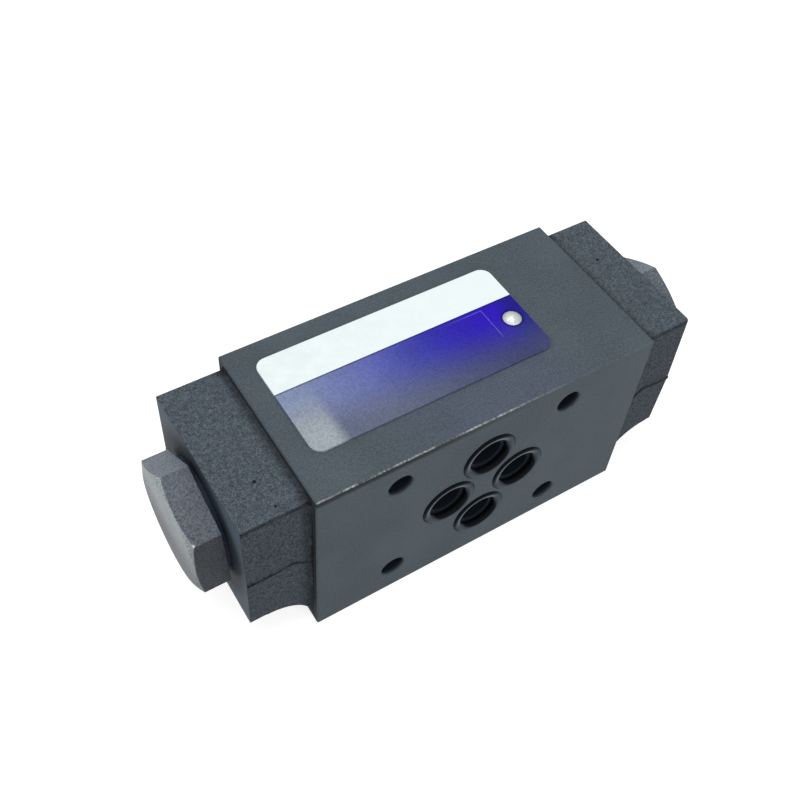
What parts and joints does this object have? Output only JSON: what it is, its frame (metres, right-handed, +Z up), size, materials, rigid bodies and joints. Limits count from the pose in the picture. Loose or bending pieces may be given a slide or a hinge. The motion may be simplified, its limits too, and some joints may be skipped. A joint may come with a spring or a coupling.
{
  "type": "hydraulic sandwich valve",
  "caption": "Machined cast block with a standard port face, cast ends closed by hex plugs, holding a pilot spool and spring-loaded check poppets.",
  "frame": {"origin": "middle of the underside, below the middle of the cross bore and of the bolt pattern", "axes": "+X along the cross bore towards port B, -Y out of the seal face, +Z up towards the marking plate"},
  "size_m": [0.1208, 0.0404, 0.0484],
  "materials": {
    "cast_body": "phosphated, machined faces with as-cast ends",
    "plug_steel": "phosphated and turned",
    "seal_rubber": "matt",
    "hard_steel": "ground",
    "spring_steel": "drawn wire",
    "plate_print": "printed in plain fields",
    "rivet_metal": "bright"
  },
  "bodies": {
    "valve": {"valve_body": "cast_body", "plug_a": "plug_steel", "plug_b": "plug_steel", "plug_seal_a": "seal_rubber", "plug_seal_b": "seal_rubber", "seat_bush_a": "hard_steel", "seat_bush_b": "hard_steel", "seat_seal_a": "seal_rubber", "seat_seal_b": "seal_rubber", "poppet_spring_a": "spring_steel", "poppet_spring_b": "spring_steel", "port_seal_p": "seal_rubber", "port_seal_t": "seal_rubber", "port_seal_a": "seal_rubber", "port_seal_b": "seal_rubber", "nameplate": "plate_print", "rivet_b": "rivet_metal"},
    "spool": {"pilot_spool": "hard_steel"},
    "check_a": {"poppet_a": "hard_steel"},
    "check_b": {"poppet_b": "hard_steel"}
  },
  "joints": [
    {"name": "spool_shift", "type": "slide", "parent": "valve", "child": "spool", "axis": [1, 0, 0], "range_m": [-0.0011, 0.0011]},
    {"name": "poppet_a_lift", "type": "slide", "parent": "valve", "child": "check_a", "axis": [-1, 0, 0], "range_m": [0, 0.0025], "stiffness_N_per_m": 1700, "deforming": ["poppet_spring_a"]},
    {"name": "poppet_b_lift", "type": "slide", "parent": "valve", "child": "check_b", "axis": [1, 0, 0], "range_m": [0, 0.0025], "stiffness_N_per_m": 1700, "deforming": ["poppet_spring_b"]}
  ]
}
